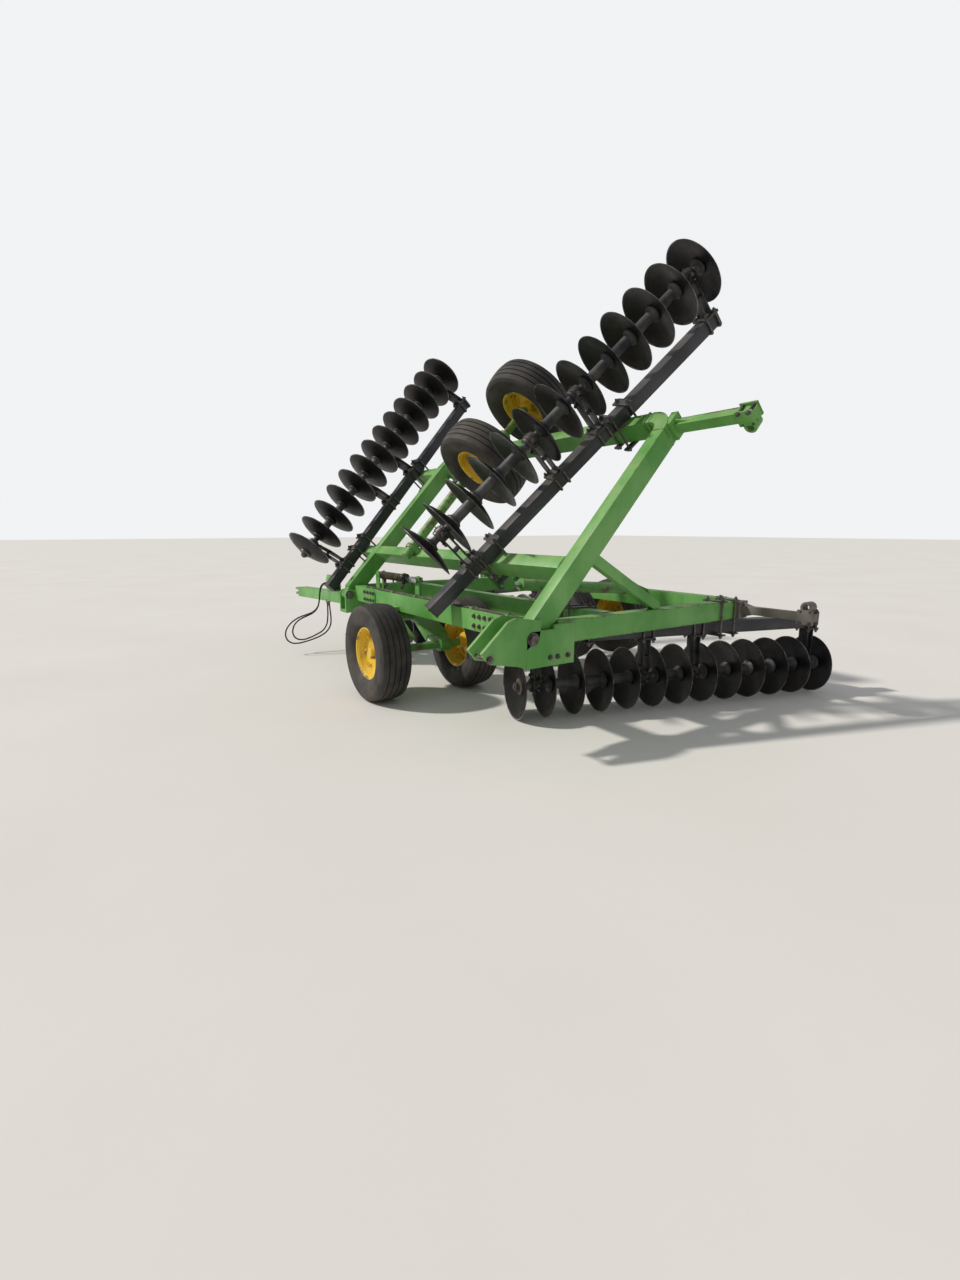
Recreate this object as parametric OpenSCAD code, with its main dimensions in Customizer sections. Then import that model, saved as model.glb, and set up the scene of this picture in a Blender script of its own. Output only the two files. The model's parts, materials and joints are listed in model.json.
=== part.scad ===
/* [Frame] */
// height of the frame tubes' middle above the ground
frame_z = 745; // [600:5:900]
// distance of the fold hinge from the machine's middle
hinge_x = 110; // [80:1:200]
// height of the fold hinge pins
pin_z = 728; // [600:1:900]
// how far the left half is folded from its working place
fold = 132.25; // [0:0.25:135]
// width of the frame tubes seen from above
tube_w = 100; // [60:5:200]
// height of the frame tubes
tube_h = 150; // [80:5:250]
// place of the rear arms along the machine
rear_y = -800; // [-1200:10:-400]
// place of the front arms along the machine
front_y = 2170; // [1500:10:3000]
// distance of the left outer tube from its hinge
left_outer = 1900; // [1200:10:2500]
// distance of the right outer tube from its hinge
right_outer = 2040; // [1200:10:2500]
// distance of the inner tubes from the hinge
inner_a = 560; // [300:10:900]
// outer radius of the bent elbows
elbow_r = 200; // [120:5:400]
// radius of the fold hinge pins
pin_r = 20; // [10:0.5:40]
// running clearance of every pin and shaft
run = 0.05; // [0.01:0.01:0.1]

/* [Gangs] */
// number of discs in a gang
discs = 13; // [3:1:20]
// distance between discs
pitch = 228.6; // [150:0.1:300]
// radius of a disc
disc_r = 244; // [150:1:400]
// depth of a disc's dish
dish = 55; // [20:1:100]
// thickness of a disc
disc_t = 6; // [3:0.5:12]
// angle of the rear gangs
rear_angle = 16.6; // [0:0.1:30]
// angle of the front gangs
front_angle = 7; // [0:0.1:30]
// distance of a gang's axle below the frame's middle
axle_d = 501; // [300:1:700]
// side of the square gang beam
beam = 100; // [60:1:150]
// distance of the gang beam's middle below the frame's middle
beam_d = 132; // [80:1:250]
// radius of a spool's neck
neck_r = 30; // [15:1:60]
// radius of a spool's flange
flange_r = 62; // [40:1:100]
// radius of the bearing part of the axle
journal_r = 28; // [15:0.5:50]

/* [Wheels] */
// radius of a tyre
tyre_r = 400; // [250:1:600]
// width of a tyre
tyre_w = 270; // [150:1:400]
// radius of the rim's edge
rim_r = 208; // [120:1:350]
// distance of the middle wheels from the machine's middle
mid_wheel_x = 420; // [250:1:800]
// place of the middle wheels along the machine
mid_wheel_y = 750; // [0:10:1500]
// place of the half wheels along the machine
wing_wheel_y = 800; // [0:10:1500]
// distance of the half wheels' middle below the frame's middle
wing_wheel_d = 270; // [150:1:500]
// radius of a wheel spindle
spindle_r = 25; // [15:0.5:50]
// radius of the rockshafts
rock_r = 45; // [25:1:80]

/* [Hidden] */
$fn = 48;

green = [0.10, 0.33, 0.14];
black = [0.06, 0.06, 0.065];
steel = [0.20, 0.19, 0.18];
grey = [0.45, 0.46, 0.46];
yellow = [0.85, 0.66, 0.10];
rubber = [0.07, 0.07, 0.07];

half_h = tube_h / 2;
half_w = tube_w / 2;
beam_top = frame_z - beam_d + beam / 2;

// gang rows: outward distance of the inner disc, its place along the machine, angle, way the dish
// faces, how far the beam reaches inward of that disc, and how far it lies behind the axle
left_rear_gang = [301, 103, -rear_angle, -1, 340, 0];
left_front_gang = [130, 2588, front_angle, 1, 190, 190];
right_rear_gang = [152, -296, -rear_angle, -1, 190, 0];
right_front_gang = [130, 2588, front_angle, 1, 190, 190];
// spools that a standard holds, counted from the inner end
bearings = [0, 4, 6, 11];

// half wheels: outward distance of the inner wheel, of the outer wheel, of the lift lever and of
// the outer bearing's tube
left_wheels = [1440, 2160, 1705, left_outer];
right_wheels = [1540, 2290, 1830, right_outer];
wing_rock_y = 1260;
wing_rock_d = 127;
mid_rock_y = 1150;
mid_rock_z = 618;
mid_lift_x = 182;
mid_lift_y = 1960;
mid_lift_z = 930;
// anchors of the lift cylinders, before the front arm
lift_y = 2050;
lift_z = 125;

// fold cylinder: rear place, anchor, and eye on the folded half's lug
fold_y = 200;
fold_anchor = [1950, 835];
fold_lug = [inner_a, 265];

// the machine's middle line and the ground, moved so that the folded machine is centred on the origin
middle = [1247.5, 1377.5, 0];
module machine() {
  translate(-middle) children();
}
// a half: outward distance from the hinge is x and height above the frame's middle is z
module right_half() {
  machine() translate([hinge_x, 0, frame_z]) children();
}
module left_half() {
  machine() translate([-hinge_x, 0, pin_z]) rotate([0, fold, 0])
    translate([0, 0, frame_z - pin_z]) mirror([1, 0, 0]) children();
}
module block(x0, x1, y0, y1, z0, z1) {
  translate([x0, y0, z0]) cube([x1 - x0, y1 - y0, z1 - z0]);
}
// cylinder along the machine, along its width
module rod_y(r, y0, y1) {
  translate([0, y0, 0]) rotate([-90, 0, 0]) cylinder(r = r, h = y1 - y0);
}
module rod_x(r, x0, x1) {
  translate([x0, 0, 0]) rotate([0, 90, 0]) cylinder(r = r, h = x1 - x0);
}
// plate that stands across the machine with a round end, between two points of x and z
module link_y(p, q, r, y0, y1) {
  dx = q[0] - p[0];
  dz = q[1] - p[1];
  translate([p[0], y0, p[1]]) rotate([0, -atan2(dz, dx), 0]) {
    rod_y(r, 0, y1 - y0);
    translate([0, 0, -r]) cube([norm([dx, dz]), y1 - y0, 2 * r]);
    translate([norm([dx, dz]), 0, 0]) rod_y(r, 0, y1 - y0);
  }
}
// plate that stands along the machine with round ends, between two points of y and z
module link_x(p, q, r, x0, x1) {
  dy = q[0] - p[0];
  dz = q[1] - p[1];
  translate([x0, p[0], p[1]]) rotate([atan2(dz, dy), 0, 0]) {
    rod_x(r, 0, x1 - x0);
    translate([0, 0, -r]) cube([x1 - x0, norm([dy, dz]), 2 * r]);
    translate([0, norm([dy, dz]), 0]) rod_x(r, 0, x1 - x0);
  }
}
// quarter bend of a frame tube, from the given turn on
module elbow(turn) {
  rotate([0, 0, turn]) rotate_extrude(angle = 90)
    translate([elbow_r - tube_w, -half_h]) square([tube_w, tube_h]);
}

// half frame pieces, drawn with the hinge at x = 0 and the frame's middle at z = 0
module rear_arm(outer, start) {
  block(start, outer - elbow_r + half_w, rear_y - half_w, rear_y + half_w, -half_h, half_h);
  translate([outer + half_w - elbow_r, rear_y - half_w + elbow_r, 0]) elbow(-90);
}
module front_arm(outer, start) {
  block(start, outer - elbow_r + half_w, front_y - half_w, front_y + half_w, -half_h, half_h);
  translate([outer + half_w - elbow_r, front_y + half_w - elbow_r, 0]) elbow(0);
}
// place along the machine where a gang's beam passes the given outward distance
function beam_y(g, a) = g[1] + (a - g[0] - g[5] * sin(g[2])) * tan(g[2]) - g[5] * cos(g[2]);
// stubs that reach forward from the front arm over the front gang beam
module front_stubs(outer, g) {
  for (a = [inner_a, outer - 210])
    block(a - half_w, a + half_w, front_y + half_w, beam_y(g, a) + 75, -half_h, half_h);
}
// anchor of the lift cylinder on the front arm
module lift_anchor(lift) {
  for (x = [lift - 39, lift + 27]) link_x([front_y - half_w + 30, 20], [lift_y, lift_z], 36, x, x + 12);
  translate([0, lift_y, lift_z]) rod_x(16, lift - 44, lift + 44);
}
module outer_tube(outer) {
  block(outer - half_w, outer + half_w, rear_y - half_w + elbow_r, front_y + half_w - elbow_r, -half_h, half_h);
}
module inner_tube() {
  block(inner_a - half_w, inner_a + half_w, rear_y + half_w, front_y - half_w, -half_h, half_h);
}
// hinge end of a folding arm
module knuckle(y) {
  difference() {
    union() {
      translate([0, 0, pin_z - frame_z]) rod_y(44, y - half_w, y + half_w);
      block(0, 60, y - half_w, y + half_w, pin_z - frame_z - 44, half_h - 15);
    }
    translate([0, 0, pin_z - frame_z]) rod_y(pin_r + run, y - half_w - 1, y + half_w + 1);
  }
}
module rear_extension(outer) {
  back = rear_y - half_w;
  difference() {
    union() {
      block(outer - 90, outer - 10, back - 480, back + 60, -40, 40);
      block(outer - 120, outer + 20, back - 20, back + 60, -70, 70);
    }
    translate([outer + half_w - elbow_r, back + elbow_r, -100]) cylinder(r = elbow_r + 0.2, h = 200);
  }
  block(outer - 105, outer + 5, back - 600, back - 480, -55, 55);
}

// gang pieces, drawn along x from the inner disc's middle on the axle
module gang_place(g) {
  translate([g[0], g[1], -axle_d]) rotate([0, 0, g[2]]) children();
}
module one_disc(face) {
  steps = 5;
  flat = flange_r + 4;
  rad = [for (i = [0:steps]) flat + (disc_r - flat) * i / steps];
  dz = function (r) dish * (pow(r, 2) - pow(flat, 2)) / (pow(disc_r, 2) - pow(flat, 2));
  front = [for (r = rad) [r, dz(r) + disc_t / 2]];
  back = [for (i = [steps:-1:0]) [rad[i], dz(rad[i]) - disc_t / 2]];
  rotate([0, face * 90, 0])
    rotate_extrude() polygon(concat([[20, disc_t / 2]], front, back, [[20, -disc_t / 2]]));
}
module gang_discs(g) {
  gang_place(g) for (i = [0:discs - 1]) translate([i * pitch, 0, 0]) one_disc(g[3]);
}
module gang_axle(g) {
  held = function (i) len([for (b = bearings) if (b == i) 1]) > 0;
  t = disc_t / 2;
  // for each spool: radius and place of its corners
  spools = [for (i = [0:discs - 2]) each (held(i)
    ? [[20, i * pitch + t], [flange_r, i * pitch + t], [flange_r, i * pitch + 16], [journal_r, i * pitch + 42],
       [journal_r, (i + 1) * pitch - 42], [flange_r, (i + 1) * pitch - 16], [flange_r, (i + 1) * pitch - t], [20, (i + 1) * pitch - t]]
    : [[20, i * pitch + t], [flange_r, i * pitch + t], [flange_r, i * pitch + 14], [neck_r, i * pitch + 60],
       [neck_r, (i + 1) * pitch - 60], [flange_r, (i + 1) * pitch - 14], [flange_r, (i + 1) * pitch - t], [20, (i + 1) * pitch - t]])];
  last = (discs - 1) * pitch;
  gang_place(g) rotate([0, 90, 0]) rotate_extrude()
    polygon(concat([[0, -60], [26, -60], [26, -34], [flange_r, -26], [flange_r, -t], [20, -t]], spools,
      [[20, last + t], [flange_r, last + t], [flange_r, last + 26], [26, last + 34], [26, last + 60], [0, last + 60]]));
}
// gang beam, with a seat under each frame tube that it passes at one of the given outward distances
module gang_beam(g, passes) {
  translate([g[0], g[1], -beam_d]) rotate([0, 0, g[2]])
    block(-g[4], (discs - 1) * pitch - 60, -g[5] - beam / 2, -g[5] + beam / 2, -beam / 2, beam / 2);
  for (a = passes) block(a - 70, a + 70, beam_y(g, a) - 55, beam_y(g, a) + 55, -beam_d + beam / 2 - 6, -half_h);
}
// outline in y and z that is extruded along x
module side_plate(points, x0, x1) {
  translate([x0, 0, 0]) rotate([90, 0, 90]) linear_extrude(x1 - x0) polygon(points);
}
// standards that hang from the gang beam and carry its bearings
module standards(g) {
  top = axle_d - beam_d - beam / 2;
  back = g[5];
  for (b = bearings) gang_place(g) translate([(b + 0.5) * pitch, 0, 0]) {
    difference() {
      union() {
        rod_x(58, -45, 45);
        side_plate([[-44, 0], [44, 0], [44 - back * 0.6, top * 0.6], [48 - back, top - 10],
          [-48 - back, top - 10], [-44 - back * 0.6, top * 0.45]], -16, 16);
        block(-60, 60, -back - 70, -back + 70, top - 16, top);
      }
      rod_x(journal_r + run, -50, 50);
    }
  }
}

// wheel pieces, drawn with the spindle along x and the outer side towards +x
module tyre() {
  w = tyre_w / 2;
  side = tyre_r - rim_r;
  // share of the side's height and of the half width, from the bead to the middle of the tread
  section = [[-0.07, 0.62], [0.1, 0.8], [0.45, 1], [0.64, 1], [0.87, 0.86], [0.97, 0.55], [1, 0]];
  right = [for (p = section) [rim_r + p[0] * side, p[1] * w]];
  left = [for (i = [len(section) - 2:-1:0]) [right[i][0], -right[i][1]]];
  rotate([0, 90, 0]) rotate_extrude($fn = 64) polygon(concat(right, left));
}
module rim() {
  w = tyre_w / 2;
  rotate([0, 90, 0]) rotate_extrude($fn = 64)
    polygon([[spindle_r + run, -60], [52, -60], [52, -6], [80, -6], [120, 16], [150, 16], [168, -8],
      [rim_r - 24, -w * 0.62], [rim_r - 14, -w * 0.62], [rim_r - 14, w * 0.62], [rim_r - 24, w * 0.62],
      [rim_r - 34, 20], [150, 30], [118, 30], [78, 8], [52, 8], [52, 48], [spindle_r + run, 48]]);
}
// rockshaft of a half: tube, two arms, cross axle and lever
module half_rockshaft(wh) {
  y = wing_rock_y;
  z = -wing_rock_d;
  wy = wing_wheel_y;
  wz = -wing_wheel_d;
  translate([0, y, z]) rod_x(rock_r, inner_a - 100, wh[3] + 30);
  for (x = [wh[2] - 75, wh[2] + 45]) link_x([y, z], [wy, wz], 55, x, x + 30);
  translate([0, wy, wz]) rod_x(34, wh[0] + 62, wh[1] - 62);
  translate([0, wy, wz]) rod_x(spindle_r, wh[0] - 47, wh[1] + 47);
  link_x([y, z], [y, z + 322], 38, wh[2] - 12, wh[2] + 12);
}
module half_lift_barrel(wh) {
  lift_barrel(wh[2], [lift_y, lift_z], [wing_rock_y, -wing_rock_d + 322]);
}
module half_lift_rod(wh) {
  lift_rod(wh[2], [lift_y, lift_z], [wing_rock_y, -wing_rock_d + 322]);
}
// hydraulic cylinder that lies along the machine, from its anchor to its lever
module lift_barrel(x, p, q) {
  dy = q[0] - p[0];
  dz = q[1] - p[1];
  len = norm([dy, dz]);
  translate([x, p[0], p[1]]) rotate([atan2(dz, dy), 0, 0]) {
    difference() {
      union() {
        rod_x(34, -25, 25);
        rod_y(38, 55, len - 245);
        block(-22, 22, 0, 60, -28, 28);
        rod_y(46, len - 275, len - 245);
      }
      rod_x(16 + run, -30, 30);
      rod_y(22 + run, 75, len);
    }
  }
}
module lift_rod(x, p, q) {
  dy = q[0] - p[0];
  dz = q[1] - p[1];
  len = norm([dy, dz]);
  translate([x, p[0], p[1]]) rotate([atan2(dz, dy), 0, 0]) {
    rod_y(22, 175, len - 110);
    block(-38, 38, len - 118, len - 80, -24, 24);
    for (s = [-38, 20]) {
      block(s, s + 18, len - 90, len, -24, 24);
      translate([0, len, 0]) rod_x(26, s, s + 18);
    }
  }
}

// place of the fold cylinder's eye on the folded half
lug_x = -hinge_x - (fold_lug[0]) * cos(fold) - (-(frame_z - pin_z) - fold_lug[1]) * sin(fold);
lug_z = pin_z + fold_lug[0] * sin(fold) - (-(frame_z - pin_z) - fold_lug[1]) * cos(fold);
fold_len = norm([lug_x - fold_anchor[0], lug_z - fold_anchor[1]]);
fold_tilt = atan2(lug_z - fold_anchor[1], lug_x - fold_anchor[0]);
module fold_axis() {
  machine() translate([fold_anchor[0], fold_y, fold_anchor[1]]) rotate([0, -fold_tilt, 0]) children();
}

// nodes
// hinge plates on both sides of an arm, with the fold pin and the floor plate
module hinge_bracket(y) {
  for (s = [-85, 60]) {
    block(-160, 115, y + s, y + s + 25, 560, pin_z);
    translate([-hinge_x, 0, pin_z]) rod_y(50, y + s, y + s + 25);
    block(-hinge_x, 60, y + s, y + s + 25, pin_z - 20, pin_z + 50);
    block(60, 118, y + s, y + s + 25, 560, frame_z + 60);
  }
  for (s = [-85, half_w]) block(118, 230, y + s, y + s + 85 - half_w, 560, frame_z + 60);
  block(-160, 230, y - 85, y + 85, 545, 575);
  translate([-hinge_x, 0, pin_z]) rod_y(pin_r, y - 95, y + 95);
}
module rear_hinge() color(green) machine() hinge_bracket(rear_y);
module front_hinge() color(green) machine() hinge_bracket(front_y);
module center_beam() color(green) machine() {
  block(-50, 50, rear_y + 85, front_y - 85, frame_z - half_h, frame_z + half_h);
  // bearings of the middle rockshaft
  difference() {
    for (x = [-150, 120]) {
      block(x, x + 30, mid_rock_y - 70, mid_rock_y + 70, mid_rock_z - 20, frame_z - half_h + 40);
      translate([0, mid_rock_y, mid_rock_z]) rod_x(70, x, x + 30);
    }
    translate([0, mid_rock_y, mid_rock_z]) rod_x(rock_r + run, -160, 160);
  }
  block(-150, 150, mid_rock_y - 70, mid_rock_y + 70, frame_z - half_h + 10, frame_z - half_h + 40);
  // anchor of the middle lift cylinder
  for (x = [mid_lift_x - 39, mid_lift_x + 27]) link_x([mid_lift_y, frame_z], [mid_lift_y, mid_lift_z], 42, x, x + 12);
  block(half_w, mid_lift_x + 39, mid_lift_y - 42, mid_lift_y + 42, frame_z - 42, frame_z + 42);
  translate([0, mid_lift_y, mid_lift_z]) rod_x(16, mid_lift_x - 44, mid_lift_x + 44);
}
module tongue() color(green) machine() {
  y0 = front_y + 85;
  difference() {
    union() {
      translate([0, y0, 663]) rotate([-2.3, 0, 0]) translate([-60, 3, -60]) cube([120, 1757, 120]);
      block(-80, 110, y0, y0 + 30, 575, frame_z + 60);
      for (z = [622, 560]) block(-50, 50, y0 + 1700, y0 + 1900, z - 12, z + 13);
      for (z = [622, 560]) translate([0, y0 + 1900, z - 12]) cylinder(r = 50, h = 25);
      block(-50, 50, y0 + 1700, y0 + 1780, 548, 635);
    }
    translate([0, y0 + 1900, 480]) cylinder(r = 16.5, h = 200);
  }
}
module valve_block() color(green) machine() {
  translate([0, front_y + 85, 663]) rotate([-2.3, 0, 0]) block(-50, 50, 505, 705, 60, 245);
}
module wing_rest() color(green) machine() {
  top = [452, 1196];
  difference() {
    link_y([1080, 845], top, 36, rear_y - 30, rear_y + 30);
    translate([0, rear_y - 100, 0]) block(900, 1300, 0, 200, 700, frame_z + half_h);
    translate([-hinge_x, rear_y - 100, pin_z]) rotate([0, fold, 0]) block(-1200, -300, 0, 200, 0, half_h + frame_z - pin_z + 0.3);
  }
}
module right_rear_arm() color(green) right_half() rear_arm(right_outer, 10);
module right_front_arm() color(green) right_half() {
  front_arm(right_outer, 10);
  lift_anchor(right_wheels[2]);
}
module right_front_stubs() color(green) right_half() front_stubs(right_outer, right_front_gang);
module right_outer_tube() color(green) right_half() {
  outer_tube(right_outer);
  // anchor of the fold cylinder
  for (y = [fold_y - 62, fold_y + 44])
    link_y([fold_anchor[0] - hinge_x, fold_anchor[1] - frame_z], [right_outer, 20], 48, y, y + 18);
  translate([fold_anchor[0] - hinge_x, 0, fold_anchor[1] - frame_z]) rod_y(20, fold_y - 70, fold_y + 70);
  rock_bearing(right_outer - half_w + 20);
}
// bearing that carries a half's rockshaft
module rock_bearing(x) {
  difference() {
    union() {
      block(x, x + 40, wing_rock_y - 62, wing_rock_y + 62, -wing_rock_d, -half_h);
      translate([0, wing_rock_y, -wing_rock_d]) rod_x(62, x, x + 40);
    }
    translate([0, wing_rock_y, -wing_rock_d]) rod_x(rock_r + run, x - 5, x + 45);
  }
}
module right_inner_tube() color(green) right_half() {
  inner_tube();
  rock_bearing(inner_a - 20);
}
module right_rear_extension() color(grey) right_half() rear_extension(right_outer);
module right_rear_gang_beam() color(black) right_half() gang_beam(right_rear_gang, [inner_a, 1800]);
module right_front_gang_beam() color(black) right_half() gang_beam(right_front_gang, [inner_a, right_outer - 210]);
module right_rear_standards() color(black) right_half() standards(right_rear_gang);
module right_front_standards() color(black) right_half() standards(right_front_gang);
module left_rear_arm() color(green) left_half() {
  rear_arm(left_outer, 60);
  knuckle(rear_y);
}
module left_front_arm() color(green) left_half() {
  front_arm(left_outer, 60);
  knuckle(front_y);
  lift_anchor(left_wheels[2]);
}
module left_front_stubs() color(green) left_half() front_stubs(left_outer, left_front_gang);
module left_outer_tube() color(green) left_half() {
  outer_tube(left_outer);
  rock_bearing(left_outer - half_w + 20);
}
module left_inner_tube() color(green) left_half() {
  inner_tube();
  rock_bearing(inner_a - 20);
  // lug of the fold cylinder
  for (y = [fold_y - 62, fold_y + 44]) link_y([fold_lug[0], 0], [fold_lug[0], fold_lug[1]], 50, y, y + 18);
}
module left_rear_extension() color(grey) left_half() rear_extension(left_outer);
module left_rear_gang_beam() color(black) left_half() gang_beam(left_rear_gang, [inner_a, left_outer]);
module left_front_gang_beam() color(black) left_half() gang_beam(left_front_gang, [inner_a, left_outer - 210]);
module left_rear_standards() color(black) left_half() standards(left_rear_gang);
module left_front_standards() color(black) left_half() standards(left_front_gang);
module right_rear_discs() color(steel) right_half() gang_discs(right_rear_gang);
module right_front_discs() color(steel) right_half() gang_discs(right_front_gang);
module left_rear_discs() color(steel) left_half() gang_discs(left_rear_gang);
module left_front_discs() color(steel) left_half() gang_discs(left_front_gang);
module right_rear_axle() color(grey) right_half() gang_axle(right_rear_gang);
module right_front_axle() color(grey) right_half() gang_axle(right_front_gang);
module left_rear_axle() color(grey) left_half() gang_axle(left_rear_gang);
module left_front_axle() color(grey) left_half() gang_axle(left_front_gang);
module center_rockshaft() color(green) machine() {
  translate([0, mid_rock_y, mid_rock_z]) rod_x(rock_r, -250, 250);
  for (x = [-250, 215]) link_x([mid_rock_y, mid_rock_z], [mid_wheel_y, tyre_r], 55, x, x + 35);
  translate([0, mid_wheel_y, tyre_r]) rod_x(34, -mid_wheel_x + 62, mid_wheel_x - 62);
  translate([0, mid_wheel_y, tyre_r]) rod_x(spindle_r, -mid_wheel_x - 47, mid_wheel_x + 47);
  link_x([mid_rock_y, mid_rock_z], [mid_rock_y, mid_lift_z], 38, mid_lift_x - 12, mid_lift_x + 12);
}
module right_rockshaft() color(green) right_half() half_rockshaft(right_wheels);
module left_rockshaft() color(green) left_half() half_rockshaft(left_wheels);
module wheel_at(x, y, z, s) {
  translate([x, y, z]) mirror([s, 0, 0]) children();
}
module center_left_tyre() color(rubber) machine() wheel_at(-mid_wheel_x, mid_wheel_y, tyre_r, 1) tyre();
module center_left_rim() color(yellow) machine() wheel_at(-mid_wheel_x, mid_wheel_y, tyre_r, 1) rim();
module center_right_tyre() color(rubber) machine() wheel_at(mid_wheel_x, mid_wheel_y, tyre_r, 0) tyre();
module center_right_rim() color(yellow) machine() wheel_at(mid_wheel_x, mid_wheel_y, tyre_r, 0) rim();
module right_inner_tyre() color(rubber) right_half() wheel_at(right_wheels[0], wing_wheel_y, -wing_wheel_d, 1) tyre();
module right_inner_rim() color(yellow) right_half() wheel_at(right_wheels[0], wing_wheel_y, -wing_wheel_d, 1) rim();
module right_outer_tyre() color(rubber) right_half() wheel_at(right_wheels[1], wing_wheel_y, -wing_wheel_d, 0) tyre();
module right_outer_rim() color(yellow) right_half() wheel_at(right_wheels[1], wing_wheel_y, -wing_wheel_d, 0) rim();
module left_inner_tyre() color(rubber) left_half() wheel_at(left_wheels[0], wing_wheel_y, -wing_wheel_d, 1) tyre();
module left_inner_rim() color(yellow) left_half() wheel_at(left_wheels[0], wing_wheel_y, -wing_wheel_d, 1) rim();
module left_outer_tyre() color(rubber) left_half() wheel_at(left_wheels[1], wing_wheel_y, -wing_wheel_d, 0) tyre();
module left_outer_rim() color(yellow) left_half() wheel_at(left_wheels[1], wing_wheel_y, -wing_wheel_d, 0) rim();
module fold_barrel() color(green) fold_axis() {
  difference() {
    union() {
      rod_y(45, -38, 38);
      rod_x(50, 70, fold_len - 150);
      block(0, 80, -35, 35, -35, 35);
    }
    rod_y(20 + run, -60, 60);
    rod_x(25 + run, 95, fold_len);
  }
}
module fold_rod() color(steel) fold_axis() {
  rod_x(25, 100, fold_len - 40);
  difference() {
    translate([fold_len, 0, 0]) rod_y(45, -34, 34);
    translate([fold_len, 0, 0]) rod_y(24, -60, 60);
  }
}
module center_lift_barrel() color(black) machine() lift_barrel(mid_lift_x, [mid_lift_y, mid_lift_z], [mid_rock_y, mid_lift_z]);
module center_lift_rod() color(steel) machine() lift_rod(mid_lift_x, [mid_lift_y, mid_lift_z], [mid_rock_y, mid_lift_z]);
module right_lift_barrel() color(black) right_half() half_lift_barrel(right_wheels);
module right_lift_rod() color(steel) right_half() half_lift_rod(right_wheels);
module left_lift_barrel() color(black) left_half() half_lift_barrel(left_wheels);
module left_lift_rod() color(steel) left_half() half_lift_rod(left_wheels);

center_beam();
rear_hinge();
front_hinge();
tongue();
valve_block();
wing_rest();
right_rear_arm();
right_outer_tube();
right_front_arm();
right_front_stubs();
right_inner_tube();
right_rear_extension();
right_rear_gang_beam();
right_front_gang_beam();
right_rear_standards();
right_front_standards();
left_rear_arm();
left_outer_tube();
left_front_arm();
left_front_stubs();
left_inner_tube();
left_rear_extension();
left_rear_gang_beam();
left_front_gang_beam();
left_rear_standards();
left_front_standards();
right_rear_discs();
right_rear_axle();
right_front_discs();
right_front_axle();
left_rear_discs();
left_rear_axle();
left_front_discs();
left_front_axle();
center_rockshaft();
right_rockshaft();
left_rockshaft();
center_left_tyre();
center_left_rim();
center_right_tyre();
center_right_rim();
right_inner_tyre();
right_inner_rim();
right_outer_tyre();
right_outer_rim();
left_inner_tyre();
left_inner_rim();
left_outer_tyre();
left_outer_rim();
fold_barrel();
fold_rod();
center_lift_barrel();
center_lift_rod();
right_lift_barrel();
right_lift_rod();
left_lift_barrel();
left_lift_rod();
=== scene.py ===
# Dresses the folded disc harrow: camera, light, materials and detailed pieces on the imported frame.
import json
import math

import bmesh
import bpy
from mathutils import Matrix, Vector


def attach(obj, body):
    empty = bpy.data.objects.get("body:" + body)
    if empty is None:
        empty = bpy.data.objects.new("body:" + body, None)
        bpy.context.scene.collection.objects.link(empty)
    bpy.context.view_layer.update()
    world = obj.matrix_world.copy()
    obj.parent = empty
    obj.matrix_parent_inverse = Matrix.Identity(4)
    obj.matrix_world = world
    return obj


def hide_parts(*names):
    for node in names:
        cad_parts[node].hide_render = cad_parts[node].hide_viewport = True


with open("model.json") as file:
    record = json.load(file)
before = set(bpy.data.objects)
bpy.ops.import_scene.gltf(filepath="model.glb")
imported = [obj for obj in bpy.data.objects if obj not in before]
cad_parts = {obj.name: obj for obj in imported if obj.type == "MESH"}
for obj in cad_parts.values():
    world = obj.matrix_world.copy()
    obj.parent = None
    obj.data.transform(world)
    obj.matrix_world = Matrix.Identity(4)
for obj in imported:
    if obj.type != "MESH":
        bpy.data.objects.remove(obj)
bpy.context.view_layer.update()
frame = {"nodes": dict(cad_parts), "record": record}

# Sizes repeated from the part's source, in metres

# middle of the folded machine, measured from the frame's middle line and the ground
MIDDLE = Vector((1.2475, 1.3775, 0.0))
# frame tubes: height of their middle, width seen from above, and height of the tube
FRAME_Z = 0.745
TUBE_W = 0.100
TUBE_H = 0.150
# fold pins: distance from the machine's middle, height, and how far the left half is folded
HINGE_X = 0.110
PIN_Z = 0.728
FOLD = math.radians(132.25)
# places of the rear and the front arms along the machine, and distances of the other tubes from the hinge
REAR_Y = -0.800
FRONT_Y = 2.170
OUTER = {"left": 1.900, "right": 2.040}
INNER_A = 0.560
# discs: number in a gang, distance between them, radius, depth of the dish, thickness
DISCS = 13
PITCH = 0.2286
DISC_R = 0.244
DISH = 0.055
DISC_T = 0.006
# gang axle: distance below the frame's middle, radii of flange and journal, and the spools in a standard
AXLE_D = 0.501
FLANGE_R = 0.062
JOURNAL_R = 0.028
BEARINGS = (0, 4, 6, 11)
# gang beam: side, distance below the frame's middle, and how far it ends before the outer disc
BEAM = 0.100
BEAM_D = 0.132
BEAM_SHORT = 0.060
# tyre: radius and width, and radius of the rim's edge
TYRE_R = 0.400
TYRE_W = 0.270
RIM_R = 0.208

# radius of a spool's neck, which is thicker here than in the source
NECK_R = 0.040


def shift(x, y, z):
    return Matrix.Translation((x, y, z))


def circle(count):
    """Cosine and sine of even turns round a circle."""
    turns = [2 * math.pi * i / count for i in range(count)]
    return [(math.cos(t), math.sin(t)) for t in turns]


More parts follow.
